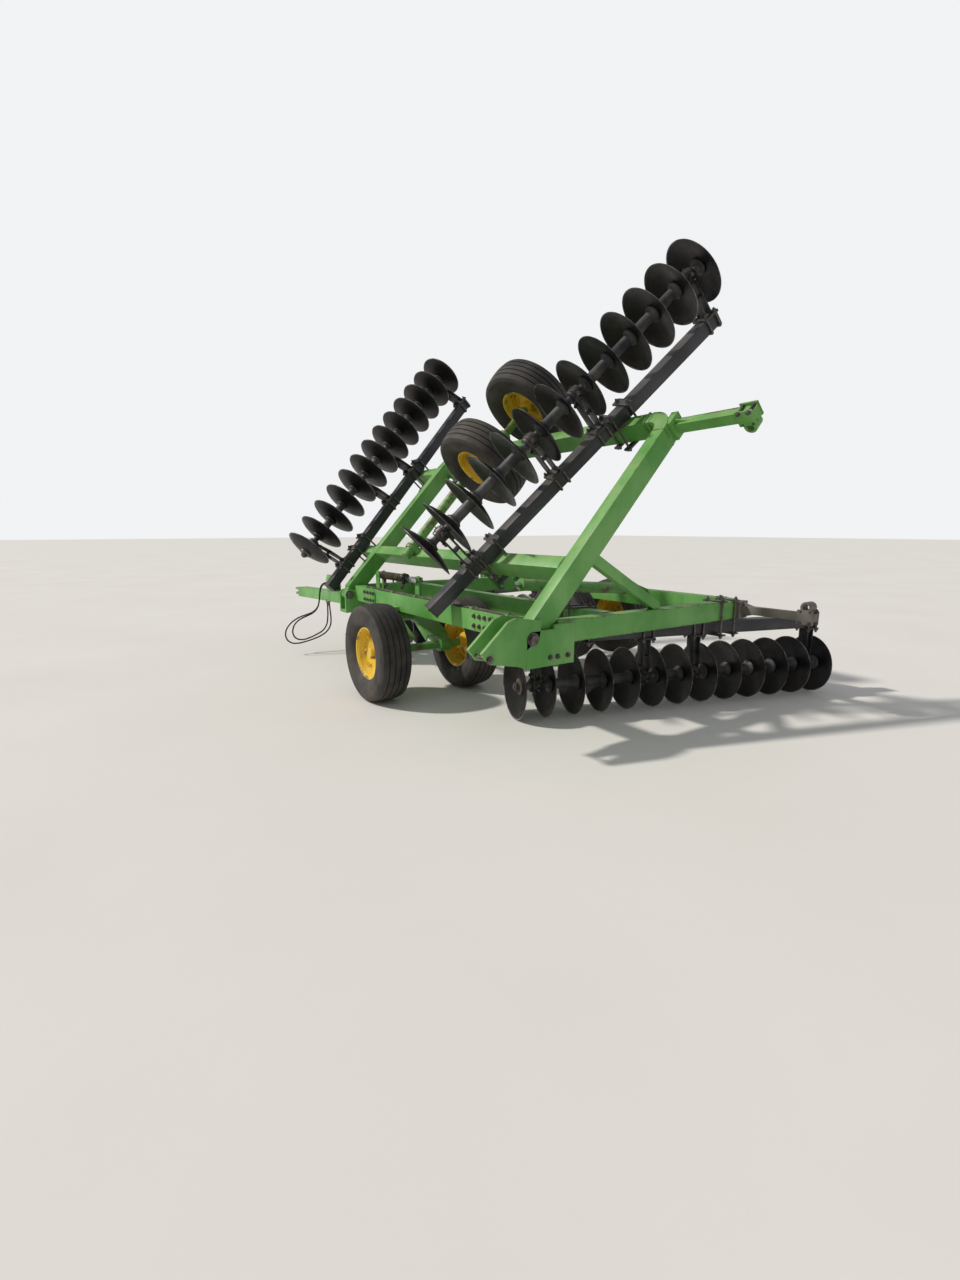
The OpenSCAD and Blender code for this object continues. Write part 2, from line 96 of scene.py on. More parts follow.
# frames of the machine and its two halves: outward distance, place along the machine, height
MACHINE = Matrix.Translation(-MIDDLE)
RIGHT = MACHINE @ shift(HINGE_X, 0, FRAME_Z)
LEFT = (MACHINE @ shift(-HINGE_X, 0, PIN_Z) @ Matrix.Rotation(FOLD, 4, "Y")
        @ shift(0, 0, FRAME_Z - PIN_Z) @ Matrix.Diagonal((-1, 1, 1, 1)))
HALVES = {"right": RIGHT, "left": LEFT}

# gangs: outward distance and place of the inner disc, angle, way the dish faces, how far the beam reaches
# inward of that disc, and how far it lies behind the axle
GANGS = {
    "left_rear": (0.301, 0.103, -16.6, -1, 0.340, 0.0),
    "left_front": (0.130, 2.588, 7.0, 1, 0.190, 0.190),
    "right_rear": (0.152, -0.296, -16.6, -1, 0.190, 0.0),
    "right_front": (0.130, 2.588, 7.0, 1, 0.190, 0.190),
}


# Materials

# sockets of a colour mix node: its factor and two colours, and the mixed colour
MIX_INPUTS = (0, 6, 7)
MIX_OUTPUT = 2


def colour(r, g, b):
    """Linear colour of an sRGB triple in 0 to 255."""
    def lin(v):
        v /= 255.0
        return v / 12.92 if v <= 0.04045 else ((v + 0.055) / 1.055) ** 2.4
    return (lin(r), lin(g), lin(b), 1.0)


class Nodes:
    """A material's node tree with short calls for the nodes that the finishes use."""

    def __init__(self, name):
        self.mat = bpy.data.materials.new(name)
        self.mat.use_nodes = True
        self.tree = self.mat.node_tree
        self.bsdf = self.tree.nodes["Principled BSDF"]
        self.coords = self.tree.nodes.new("ShaderNodeTexCoord").outputs["Object"]

    def feed(self, socket, value):
        """Gives a socket a plain value or another node's output."""
        if isinstance(value, (int, float, tuple)):
            socket.default_value = value
        else:
            self.tree.links.new(value, socket)

    def new(self, kind, **sockets):
        n = self.tree.nodes.new("ShaderNode" + kind)
        for name, value in sockets.items():
            self.feed(n.inputs[name], value)
        return n

    def noise(self, scale, detail=4.0, rough=0.55, stretch=None):
        source = self.coords
        if stretch:
            source = self.new("Mapping", Vector=source, Scale=stretch).outputs["Vector"]
        return self.new("TexNoise", Vector=source, Scale=scale, Detail=detail, Roughness=rough).outputs["Fac"]

    def ramp(self, value, low, high, a=0.0, b=1.0):
        n = self.new("MapRange", Value=value)
        for name, v in (("From Min", low), ("From Max", high), ("To Min", a), ("To Max", b)):
            n.inputs[name].default_value = v
        return n.outputs["Result"]

    def math(self, op, a, b):
        n = self.new("Math")
        n.operation = op
        for k, v in enumerate((a, b)):
            self.feed(n.inputs[k], v)
        return n.outputs[0]

    def mix(self, fac, a, b):
        n = self.new("Mix")
        n.data_type = "RGBA"
        for k, v in zip(MIX_INPUTS, (fac, a, b)):
            self.feed(n.inputs[k], v)
        return n.outputs[MIX_OUTPUT]

    def attribute(self, name):
        n = self.new("Attribute")
        n.attribute_name = name
        return n.outputs["Fac"]

    def upward(self):
        normal = self.new("NewGeometry").outputs["Normal"]
        return self.new("SeparateXYZ", Vector=normal).outputs["Z"]

    def bump(self, height, strength, distance):
        n = self.new("Bump", Strength=strength, Distance=distance, Height=height)
        self.feed(self.bsdf.inputs["Normal"], n.outputs["Normal"])

    def finish(self, base, rough, metallic=0.0):
        for v, name in ((base, "Base Color"), (rough, "Roughness"), (metallic, "Metallic")):
            self.feed(self.bsdf.inputs[name], v)
        return self.mat


DUST = colour(176, 156, 130)
RUST = colour(98, 62, 42)


def painted(name, paint, faded, chip=RUST, rough=0.42, chips=0.66, dust=0.5):
    """Farm paint: patches that have faded, chips down to the metal and dust that lies on upward faces."""
    n = Nodes(name)
    patch = n.ramp(n.noise(2.2, 5), 0.40, 0.62)
    base = n.mix(patch, paint, faded)
    streak = n.ramp(n.noise(9.0, 6, 0.65, (1, 1, 0.25)), 0.52, 0.75, 0.0, 0.30)
    base = n.mix(streak, base, tuple(c * 0.45 for c in paint[:3]) + (1.0,))
    worn = n.ramp(n.noise(38.0, 8, 0.7), chips, chips + 0.03)
    rubbed = n.math("MULTIPLY", n.attribute("edge"), n.ramp(n.noise(11.0, 7, 0.7), 0.50, 0.60, 0.0, 0.85))
    worn = n.math("MAXIMUM", worn, rubbed)
    base = n.mix(worn, base, chip)
    upward = n.ramp(n.upward(), 0.25, 1.0, 0.0, dust)
    lying = n.math("MULTIPLY", upward, n.ramp(n.noise(6.0, 6, 0.6), 0.35, 0.75))
    base = n.mix(lying, base, DUST)
    r = n.ramp(n.noise(12.0, 5), 0.3, 0.7, rough - 0.08, rough + 0.12)
    r = n.math("ADD", r, n.math("MULTIPLY", lying, 0.35))
    height = n.math("ADD", n.math("MULTIPLY", n.noise(160.0, 3), 0.35), n.math("MULTIPLY", worn, -0.8))
    n.bump(height, 0.25, 0.0006)
    return n.finish(base, r)


def disc_steel():
    """Dark disc blades: rings of scour, brown patches and a polished cutting edge."""
    n = Nodes("disc_blade")
    radius = n.attribute("radius")
    rings = n.new("TexNoise", Scale=46.0, Detail=5.0)
    rings.noise_dimensions = "1D"
    n.feed(rings.inputs["W"], radius)
    scour = rings.outputs["Fac"]
    base = n.mix(n.ramp(scour, 0.35, 0.7), colour(20, 20, 23), colour(46, 44, 45))
    patch = n.ramp(n.noise(5.0, 6, 0.65), 0.50, 0.72, 0.0, 0.55)
    base = n.mix(patch, base, colour(70, 56, 48))
    edge = n.math("MULTIPLY", n.ramp(radius, 0.955, 0.985), n.ramp(n.noise(14.0, 4), 0.35, 0.6))
    base = n.mix(edge, base, colour(140, 138, 135))
    rough = n.ramp(n.noise(9.0, 5), 0.3, 0.7, 0.34, 0.55)
    height = n.math("ADD", n.math("MULTIPLY", scour, 0.6), n.math("MULTIPLY", n.noise(60.0, 4), 0.4))
    n.bump(height, 0.22, 0.0008)
    return n.finish(base, rough, 0.45)


def spool_iron():
    n = Nodes("spool_iron")
    base = n.mix(n.ramp(n.noise(7.0, 6), 0.38, 0.66), colour(58, 58, 62), colour(104, 102, 100))
    base = n.mix(n.ramp(n.noise(22.0, 6, 0.7), 0.60, 0.70, 0.0, 0.7), base, colour(84, 64, 52))
    n.bump(n.noise(90.0, 6, 0.7), 0.35, 0.0012)
    return n.finish(base, n.ramp(n.noise(12.0, 4), 0.3, 0.7, 0.45, 0.65), 0.25)


def tyre_rubber():
    n = Nodes("tyre_rubber")
    dusty = n.ramp(n.noise(3.5, 6, 0.6), 0.36, 0.72, 0.04, 0.40)
    base = n.mix(dusty, colour(30, 30, 31), colour(120, 110, 98))
    base = n.mix(n.ramp(n.noise(30.0, 6, 0.7), 0.55, 0.75, 0.0, 0.35), base, colour(18, 18, 19))
    n.bump(n.noise(140.0, 5, 0.65), 0.3, 0.0010)
    return n.finish(base, n.ramp(n.noise(10.0, 5), 0.3, 0.7, 0.62, 0.85))


def chrome_rod():
    n = Nodes("chrome_rod")
    base = n.mix(n.ramp(n.noise(18.0, 5), 0.5, 0.75, 0.0, 0.4), colour(188, 189, 192), colour(120, 112, 102))
    return n.finish(base, n.ramp(n.noise(30.0, 5), 0.3, 0.7, 0.12, 0.32), 1.0)


def bare_steel():
    n = Nodes("bare_steel")
    base = n.mix(n.ramp(n.noise(26.0, 6, 0.7), 0.42, 0.68), colour(112, 110, 108), colour(84, 62, 48))
    n.bump(n.noise(120.0, 5), 0.3, 0.0006)
    return n.finish(base, n.ramp(n.noise(20.0, 4), 0.3, 0.7, 0.38, 0.6), 0.7)


def hose_rubber():
    n = Nodes("hose_rubber")
    base = n.mix(n.ramp(n.noise(14.0, 5), 0.45, 0.75, 0.0, 0.5), colour(22, 22, 23), colour(92, 84, 74))
    n.bump(n.noise(220.0, 3), 0.2, 0.0005)
    return n.finish(base, 0.6)


SLOT_MATERIAL = {
    "frame_paint": painted("frame_green", colour(82, 150, 62), colour(116, 172, 92)),
    "beam_paint": painted("beam_black", colour(38, 39, 43), colour(60, 61, 65), chip=colour(96, 84, 74),
                          rough=0.38, dust=0.35),
    "grey_paint": painted("old_grey", colour(88, 84, 78), colour(116, 110, 102), rough=0.5),
    "rim_paint": painted("rim_yellow", colour(222, 178, 22), colour(232, 196, 60), rough=0.38, chips=0.70,
                         dust=0.25),
    "cylinder_paint": painted("cylinder_black", colour(26, 27, 29), colour(44, 44, 46), rough=0.35, dust=0.3),
    "disc_steel": disc_steel(),
    "spool_iron": spool_iron(),
    "tyre_rubber": tyre_rubber(),
    "rod_chrome": chrome_rod(),
}
STEEL = bare_steel()
HOSE = hose_rubber()
NODE_SLOT = {s["node"]: s["material_slot"] for s in frame["record"]["subparts"]}
NODE_BODY = {n: b for b, group in frame["record"]["behaviour"]["bodies"].items() for n in group}


# Stage, light and camera

# colour and strength of the sky that lights the machine, and of the backdrop that the camera sees
SKY = ((0.90, 0.94, 1.0, 1.0), 0.42)
BACKDROP = ((0.93, 0.94, 0.95, 1.0), 0.95)
# the sun stands over the machine's front left, so its shadow falls to the right and towards the camera
SUN_FROM = Vector((-0.62, 0.42, 0.66))
# camera fitted to the photograph: place, heading to the right of +Y, pitch below level, lens in millimetres
CAMERA_PLACE = Vector((-2.336, -3.620, 1.393)) - MIDDLE
CAMERA_HEADING = math.radians(33.85)
CAMERA_PITCH = math.radians(10.75)
CAMERA_LENS = 16.48
SENSOR_WIDTH = 36.0


def add_to_scene(name, data):
    """A new object in the scene."""
    obj = bpy.data.objects.new(name, data)
    bpy.context.scene.collection.objects.link(obj)
    return obj


def make_stage():
    mesh = bpy.data.meshes.new("floor")
    bm = bmesh.new()
    bmesh.ops.create_grid(bm, x_segments=1, y_segments=1, size=90.0)
    bm.to_mesh(mesh)
    bm.free()
    floor = add_to_scene("floor", mesh)
    n = Nodes("pale_floor")
    base = n.mix(n.noise(0.6, 6), colour(226, 221, 213), colour(236, 232, 226))
    mesh.materials.append(n.finish(base, 0.9))


def make_light():
    """A soft sky with a sun; the camera sees a pale backdrop in the sky's place."""
    world = bpy.data.worlds.new("studio")
    bpy.context.scene.world = world
    world.use_nodes = True
    tree = world.node_tree
    background = tree.nodes["Background"]
    seen = tree.nodes.new("ShaderNodeBackground")
    for node, (tint, strength) in ((background, SKY), (seen, BACKDROP)):
        node.inputs["Color"].default_value = tint
        node.inputs["Strength"].default_value = strength
    path = tree.nodes.new("ShaderNodeLightPath")
    mix = tree.nodes.new("ShaderNodeMixShader")
    tree.links.new(path.outputs["Is Camera Ray"], mix.inputs[0])
    tree.links.new(background.outputs[0], mix.inputs[1])
    tree.links.new(seen.outputs[0], mix.inputs[2])
    tree.links.new(mix.outputs[0], tree.nodes["World Output"].inputs["Surface"])
    sun = bpy.data.lights.new("key", "SUN")
    sun.energy = 2.6
    sun.angle = math.radians(3)
    sun.color = (1.0, 0.97, 0.92)
    add_to_scene("key", sun).rotation_euler = SUN_FROM.to_track_quat("Z", "Y").to_euler()


def make_camera():
    level = math.cos(CAMERA_PITCH)
    look = Vector((math.sin(CAMERA_HEADING) * level, math.cos(CAMERA_HEADING) * level,
                   -math.sin(CAMERA_PITCH)))
    data = bpy.data.cameras.new("camera")
    data.lens = CAMERA_LENS
    data.sensor_width = SENSOR_WIDTH
    camera = add_to_scene("camera", data)
    camera.location = CAMERA_PLACE
    camera.rotation_euler = look.to_track_quat("-Z", "Y").to_euler()
    bpy.context.scene.camera = camera
    bpy.context.scene.view_settings.view_transform = "Standard"


make_camera()


# Hoses

HOSE_D = 0.016
# length of each hose, and its points in the machine's frame, from its port on the valve to its clip under
# the tongue
HOSES = {
    "hose_rear": (1.757, [
        (-0.056, 2.865, 0.789), (-0.090, 2.865, 0.787), (-0.128, 2.868, 0.764), (-0.150, 2.874, 0.715),
        (-0.160, 2.882, 0.650), (-0.168, 2.890, 0.580), (-0.190, 2.898, 0.515), (-0.240, 2.905, 0.468),
        (-0.310, 2.910, 0.442), (-0.385, 2.914, 0.420), (-0.455, 2.917, 0.385), (-0.515, 2.919, 0.333),
        (-0.552, 2.921, 0.265), (-0.548, 2.922, 0.190), (-0.500, 2.923, 0.138), (-0.425, 2.924, 0.122),
        (-0.340, 2.924, 0.132), (-0.250, 2.923, 0.152), (-0.160, 2.922, 0.182), (-0.085, 2.920, 0.228),
        (-0.040, 2.918, 0.295), (-0.030, 2.916, 0.375), (-0.036, 2.915, 0.470), (-0.045, 2.914, 0.580)]),
    "hose_front": (1.535, [
        (-0.056, 2.909, 0.787), (-0.088, 2.910, 0.785), (-0.122, 2.914, 0.762), (-0.140, 2.920, 0.712),
        (-0.147, 2.930, 0.645), (-0.152, 2.940, 0.575), (-0.172, 2.948, 0.505), (-0.220, 2.955, 0.452),
        (-0.290, 2.960, 0.420), (-0.360, 2.963, 0.392), (-0.420, 2.965, 0.350), (-0.455, 2.967, 0.290),
        (-0.458, 2.969, 0.222), (-0.420, 2.970, 0.168), (-0.350, 2.970, 0.150), (-0.270, 2.969, 0.165),
        (-0.190, 2.968, 0.195), (-0.115, 2.966, 0.235), (-0.068, 2.964, 0.300), (-0.052, 2.962, 0.380),
        (-0.047, 2.961, 0.480), (-0.047, 2.960, 0.578)]),
}


def make_hose(name):
    """A hanging hose as a curve through its points, riding on the valve's body."""
    length, points = HOSES[name]
    data = bpy.data.curves.new(name, "CURVE")
    data.dimensions = "3D"
    data.bevel_depth = HOSE_D / 2
    data.bevel_resolution = 4
    data.resolution_u = 12
    data.use_fill_caps = True
    line = data.splines.new("BEZIER")
    line.bezier_points.add(len(points) - 1)
    for knot, p in zip(line.bezier_points, points):
        knot.co = Vector(p) - MIDDLE
        knot.handle_left_type = knot.handle_right_type = "AUTO"
    data.materials.append(HOSE)
    hose = add_to_scene(name, data)
    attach(hose, NODE_BODY["valve_block"])


for name in HOSES:
    make_hose(name)


# Mesh helpers

# half the width of the faces that count as an edge
NARROW = 0.0042

# nuts and bolt heads: width across the flats, height, and how far the bolt's end stands out
NUTS = {
    "axle": (0.056, 0.028, 0.008),
    "standard": (0.024, 0.014, 0.004),
    "housing": (0.022, 0.012, 0.006),
    "housing_head": (0.022, 0.010, 0.0),
    "u_bolt": (0.026, 0.014, 0.0),
    "clamp": (0.027, 0.015, 0.010),
    "end_plate": (0.018, 0.008, 0.0),
    "marker": (0.024, 0.012, 0.006),
    "tie": (0.036, 0.018, 0.006),
    "fold_pin": (0.060, 0.018, 0.0),
    "hinge": (0.026, 0.014, 0.006),
    "splice": (0.026, 0.013, 0.006),
    "clip": (0.016, 0.008, 0.0),
    "port": (0.026, 0.012, 0.0),
    "elbow": (0.024, 0.014, 0.0),
    "gland": (0.014, 0.008, 0.0),
    "cap": (0.024, 0.010, 0.0),
    "hose": (0.024, 0.016, 0.0),
    "wheel": (0.024, 0.018, 0.006),
}


def new_object(name, bm, body, slot, material=None, smooth=32.0):
    """An object of a bmesh that rides on a body, with smooth faces below the angle in degrees."""
    bmesh.ops.recalc_face_normals(bm, faces=bm.faces)
    mesh = bpy.data.meshes.new(name)
    bm.to_mesh(mesh)
    bm.free()
    mesh.materials.append(material or SLOT_MATERIAL[slot])
    obj = add_to_scene(name, mesh)
    shade(mesh, smooth)
    mark_edges(mesh)
    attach(obj, body)
    return obj


def mark_edges(mesh):
    """Marks the narrow faces of rolled edges, where the paint wears first."""
    marks = mesh.attributes.new("edge", "FLOAT", "CORNER").data
    points = mesh.vertices
    for f in mesh.polygons:
        ring = list(f.vertices)
        around = sum((points[a].co - points[b].co).length for a, b in zip(ring, ring[1:] + ring[:1]))
        if f.area < NARROW * around:
            for k in f.loop_indices:
                marks[k].value = 1.0


def shade(mesh, angle):
    """Smooth faces, with sharp edges where two of them meet at more than the angle."""
    bm = bmesh.new()
    bm.from_mesh(mesh)
    limit = math.radians(angle)
    for f in bm.faces:
        f.smooth = True
    for e in bm.edges:
        e.smooth = len(e.link_faces) != 2 or e.calc_face_angle(0.0) < limit
    bm.to_mesh(mesh)
    bm.free()


def join_rings(bm, rings, closed):
    """Faces between rings of points, each with the next; an open row of rings gets flat ends."""
    count = len(rings)
    for k in range(count if closed else count - 1):
        a, b = rings[k], rings[(k + 1) % count]
        for i in range(len(a)):
            j = (i + 1) % len(a)
            bm.faces.new((a[i], a[j], b[j], b[i]))
    if not closed:
        bm.faces.new(rings[0])
        bm.faces.new(rings[-1][::-1])


def ring_points(points, segments, matrix, bm, closed=True, values=None):
    """Revolves (radius, x) points about the x axis into bm; closed joins the last point to the first."""
    layer = bm.verts.layers.float.get("radius") or bm.verts.layers.float.new("radius")
    rings = []
    for k, (r, x) in enumerate(points):
        ring = [bm.verts.new(matrix @ Vector((x, r * c, r * s))) for c, s in circle(segments)]
        for v in ring:
            v[layer] = values[k] if values else 0.0
        rings.append(ring)
    join_rings(bm, rings, closed)


def roll_edges(bm, edges, width, clamp=False):
    """Rounds edges over the width with two faces each, as rolled or ground steel has them."""
    bmesh.ops.bevel(bm, geom=edges, offset=width, segments=2, profile=0.6, affect="EDGES",
                    clamp_overlap=clamp)


def add_box(bm, matrix, low, high, bevel):
    """Adds a box between two corners, with rolled edges."""
    low, high = Vector(low), Vector(high)
    made = bmesh.ops.create_cube(bm, size=1.0)["verts"]
    middle = (low + high) / 2
    size = high - low
    for v in made:
        v.co = matrix @ (Vector((v.co.x * size.x, v.co.y * size.y, v.co.z * size.z)) + middle)
    roll_edges(bm, list({e for v in made for e in v.link_edges}), bevel)


def add_rod(bm, matrix, start, end, radius, segments=20, bevel=0.0):
    """Adds a round bar between two points, with a small chamfer at its ends where asked."""
    start, end = Vector(start), Vector(end)
    length = (end - start).length
    turn = (end - start).to_track_quat("X", "Z").to_matrix().to_4x4()
    m = matrix @ Matrix.Translation(start) @ turn
    points = [(radius, 0.0), (radius, length)]
    if bevel:
        points = [(radius - bevel, 0.0), (radius, bevel), (radius, length - bevel), (radius - bevel, length)]
    ring_points(points, segments, m, bm, closed=False)


def add_nut(bm, matrix, place, axis, kind):
    """Adds a hexagon nut or bolt head on its washer, with the end of its bolt where the table has one."""
    width, height, stud = NUTS[kind]
    turn = Vector(axis).to_track_quat("X", "Z").to_matrix().to_4x4()
    m = matrix @ shift(*place) @ turn
    corner = width / math.sqrt(3)
    washer_r, stud_r = corner * 1.25, width * 0.30
    washer_top = height * 0.18
    ring_points([(washer_r, 0.0), (washer_r, washer_top)], 16, m, bm, closed=False)
    head = [(corner, washer_top), (corner, height * 0.85), (corner * 0.88, height)]
    ring_points(head, 6, m, bm, closed=False)
    if stud:
        ring_points([(stud_r, height), (stud_r, height + stud)], 10, m, bm, closed=False)


def add_plate(bm, matrix, outline, low, high, bevel):
    """Adds a plate: an outline in y and z between two places on x, its edges rolled where asked."""
    ends = [[bm.verts.new(matrix @ Vector((x, y, z))) for y, z in outline] for x in (low, high)]
    faces = [bm.faces.new(ends[0]), bm.faces.new(ends[1][::-1])]
    for i in range(len(outline)):
        j = (i + 1) % len(outline)
        faces.append(bm.faces.new((ends[0][i], ends[0][j], ends[1][j], ends[1][i])))
    if bevel:
        roll_edges(bm, list({e for f in faces for e in f.edges}), bevel)


def add_sweep(bm, matrix, path, radius, segments=10, closed=False):
    """Adds a round bar that follows a path of points, with flat ends or joined to itself."""
    path = [Vector(p) for p in path]
    last = len(path) - 1
    rings = []
    normal = None
    for k, p in enumerate(path):
        if closed:
            ahead = path[(k + 1) % len(path)] - path[k - 1]
        else:
            ahead = path[min(k + 1, last)] - path[max(k - 1, 0)]
        ahead.normalize()
        normal = normal or ahead.orthogonal()
        normal = (normal - ahead * normal.dot(ahead)).normalized()
        side = ahead.cross(normal)
        ring = [p + radius * (normal * c + side * s) for c, s in circle(segments)]
        rings.append([bm.verts.new(matrix @ q) for q in ring])
    join_rings(bm, rings, closed)


def u_bolt(x, y, reach, low, high, bend=0.012):
    """Path of a U bolt whose legs stand at a reach on both sides of y, with its bow at the height high."""
    turns = [math.radians(22.5 * k) for k in range(5)]
    leg = [(x, y - reach, low)]
    leg += [(x, y - reach + bend - bend * math.cos(t), high - bend + bend * math.sin(t)) for t in turns]
    return leg + [(px, 2 * y - py, pz) for px, py, pz in leg[::-1]]


def section_path(half_w, half_h, corner):
    """Closed path round a tube's section in x and z, with rounded corners."""
    path = []
    for sx, sz, start in ((1, 1, 0), (-1, 1, 90), (-1, -1, 180), (1, -1, 270)):
        for k in range(4):
            t = math.radians(start + 30 * k)
            x = sx * (half_w - corner) + corner * math.cos(t)
            path.append((x, 0, sz * (half_h - corner) + corner * math.sin(t)))
    return path


# Structure: tubes and plates get the rolled edges of real section and cut plate

# distance at which points join, angle up to which faces are one, and angle from which an edge is rolled
MERGE = 2e-5
FLAT = math.radians(1.0)
SHARP = math.radians(28)
# widths of the rolled edges
TUBE_EDGE = 0.009
BEAM_EDGE = 0.007
PLATE_EDGE = 0.0025
FINE_EDGE = 0.0015
# lift axle of a half: radius, place along the machine, depth, and the share of its radius that it keeps
ROCK_R = 0.045
ROCK_Y = 1.260
ROCK_D = 0.127
ROCK_SLIM = 0.99


def rounded_copy(node, width):
    """A copy of a CAD node with its flat faces joined and its sharp edges rolled; it replaces the node."""
    bm = bmesh.new()
    bm.from_mesh(frame["nodes"][node].data)
    bmesh.ops.remove_doubles(bm, verts=bm.verts, dist=MERGE)
    bmesh.ops.dissolve_limit(bm, angle_limit=FLAT, verts=bm.verts, edges=bm.edges)
    sharp = [e for e in bm.edges if len(e.link_faces) == 2 and e.calc_face_angle(0.0) > SHARP]
    roll_edges(bm, sharp, width, clamp=True)
    slot = NODE_SLOT[node]
    obj = new_object(node + "_skin", bm, NODE_BODY[node], slot)
    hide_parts(node)
    return obj


def slim_shaft(obj, half):
    """Gives a half's lift axle a little more play in its bearings, so that facets don't cross as it turns."""
    back = half.inverted()
    for v in obj.data.vertices:
        p = back @ v.co
        y, z = p.y - ROCK_Y, p.z + ROCK_D
        if abs(math.hypot(y, z) - ROCK_R) < 0.0006:
            v.co = half @ Vector((p.x, ROCK_Y + y * ROCK_SLIM, -ROCK_D + z * ROCK_SLIM))


def paint_nodes():
    """Gives each CAD node the material of its slot."""
    for node, slot in NODE_SLOT.items():
        materials = frame["nodes"][node].data.materials
        materials.clear()
        materials.append(SLOT_MATERIAL[slot])


def round_structure():
    """Rolled edges for the frame, the beams, the lift axles and the cylinders."""
    for side, half in HALVES.items():
        for name in ("rear_arm", "outer_tube", "front_arm", "front_stubs", "inner_tube"):
            rounded_copy(side + "_" + name, TUBE_EDGE)
        for name in ("rear_gang_beam", "front_gang_beam"):
            rounded_copy(side + "_" + name, BEAM_EDGE)
        slim_shaft(rounded_copy(side + "_rockshaft", PLATE_EDGE), half)
        for name in ("barrel", "rod"):
            rounded_copy(side + "_lift_" + name, FINE_EDGE)
    for name in ("center_beam", "tongue"):
        rounded_copy(name, TUBE_EDGE)
    for name in ("rear_hinge", "front_hinge", "wing_rest", "center_rockshaft"):
        rounded_copy(name, PLATE_EDGE)
    for name in ("center_lift_barrel", "center_lift_rod", "fold_barrel", "fold_rod"):
        rounded_copy(name, FINE_EDGE)


# Disc gangs

# disc blade: radius of its flat middle, bore, half its edge's thickness, and steps from middle to edge
DISC_FLAT = 0.066
DISC_BORE = 0.020
DISC_EDGE = 0.0008
DISC_STEPS = 9
# height from an axle up to the underside of its gang beam, where a standard's head lies
HEAD_Z = AXLE_D - BEAM_D - BEAM / 2
# split bearing housing: section as radius and place on the axle
HOUSING = [(0.0285, -0.045), (0.047, -0.045), (0.051, -0.041), (0.052, -0.024), (0.058, -0.019),
           (0.058, 0.019), (0.052, 0.024), (0.051, 0.041), (0.047, 0.045), (0.0285, 0.045)]
# distance of a U bolt's legs from the beam's middle, and the bar's radius
U_REACH = 0.0585
U_R = 0.0085


def gang_matrix(name):
    """Frame of a gang: x along its axle from the inner disc outwards, z up."""
    a, y, angle = GANGS[name][:3]
    turn = Matrix.Rotation(math.radians(angle), 4, "Z")
    return HALVES[name.split("_")[0]] @ shift(a, y, -AXLE_D) @ turn


def disc_profile(face):
    """Section of a dished disc that thins to its sharpened edge, and each point's share of the radius."""
    front, back = [], []
    for i in range(DISC_STEPS + 1):
        r = DISC_FLAT + (DISC_R - DISC_FLAT) * i / DISC_STEPS
        x = DISH * (r * r - DISC_FLAT * DISC_FLAT) / (DISC_R * DISC_R - DISC_FLAT * DISC_FLAT)
        thick = DISC_T / 2 if i < DISC_STEPS else DISC_EDGE
        front.append((r, face * (x + thick)))
        back.append((r, face * (x - thick)))
    points = [(DISC_BORE, face * DISC_T / 2)] + front + back[::-1] + [(DISC_BORE, -face * DISC_T / 2)]
    return points, [p[0] / DISC_R for p in points]


def dress_gang(name):
    """Dished blades in place of a gang's plain discs."""
    m = gang_matrix(name)
    bm = bmesh.new()
    points, values = disc_profile(GANGS[name][3])
    for i in range(DISCS):
        ring_points(points, 72, m @ shift(i * PITCH, 0, 0), bm, values=values)
    discs = new_object(name + "_blades", bm, name + "_gang", "disc_steel", smooth=30)
    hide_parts(name + "_discs")


def dress_axle(name):
    """Cast spools between the discs, slimmer where a bearing holds them, and the nuts at the axle's ends."""
    m = gang_matrix(name)
    face = DISC_T / 2
    bm = bmesh.new()
    for i in range(DISCS - 1):
        neck = JOURNAL_R if i in BEARINGS else NECK_R
        end = [(DISC_BORE, 0.0), (FLANGE_R - 0.002, 0.0), (FLANGE_R, 0.002), (FLANGE_R, 0.012),
               (FLANGE_R - 0.004, 0.016), (neck + 0.008, 0.024), (neck + 0.002, 0.034), (neck, 0.046)]
        start, stop = i * PITCH + face, (i + 1) * PITCH - face
        ring_points([(r, start + x) for r, x in end] + [(r, stop - x) for r, x in end[::-1]], 36, m, bm)
    spools = new_object(name + "_spools", bm, name + "_gang", "spool_iron")
    bm = bmesh.new()
    rim, top = 0.018, 0.024
    for place, way in ((-face, -1), ((DISCS - 1) * PITCH + face, 1)):
        washer = [(0.0, place), (FLANGE_R, place), (FLANGE_R, place + way * rim), (0.044, place + way * top),
                  (0.0, place + way * top)]
        ring_points(washer, 36, m, bm, closed=False)
        add_nut(bm, m, (place + way * top, 0, 0), (way, 0, 0), "axle")
    new_object(name + "_axle_nuts", bm, name + "_gang", "spool_iron", STEEL)
    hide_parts(name + "_axle")


def standard_outline(back):
    """Outline of a standard's side plate in y and z, from its housing up to its head behind it."""
    points = [(-0.044, 0.0), (0.044, 0.0), (0.044 - back * 0.6, HEAD_Z * 0.6), (0.048 - back, HEAD_Z - 0.010),
              (-0.048 - back, HEAD_Z - 0.010), (-0.044 - back * 0.6, HEAD_Z * 0.45)]
    return [(y, max(z, 0.030)) for y, z in points]


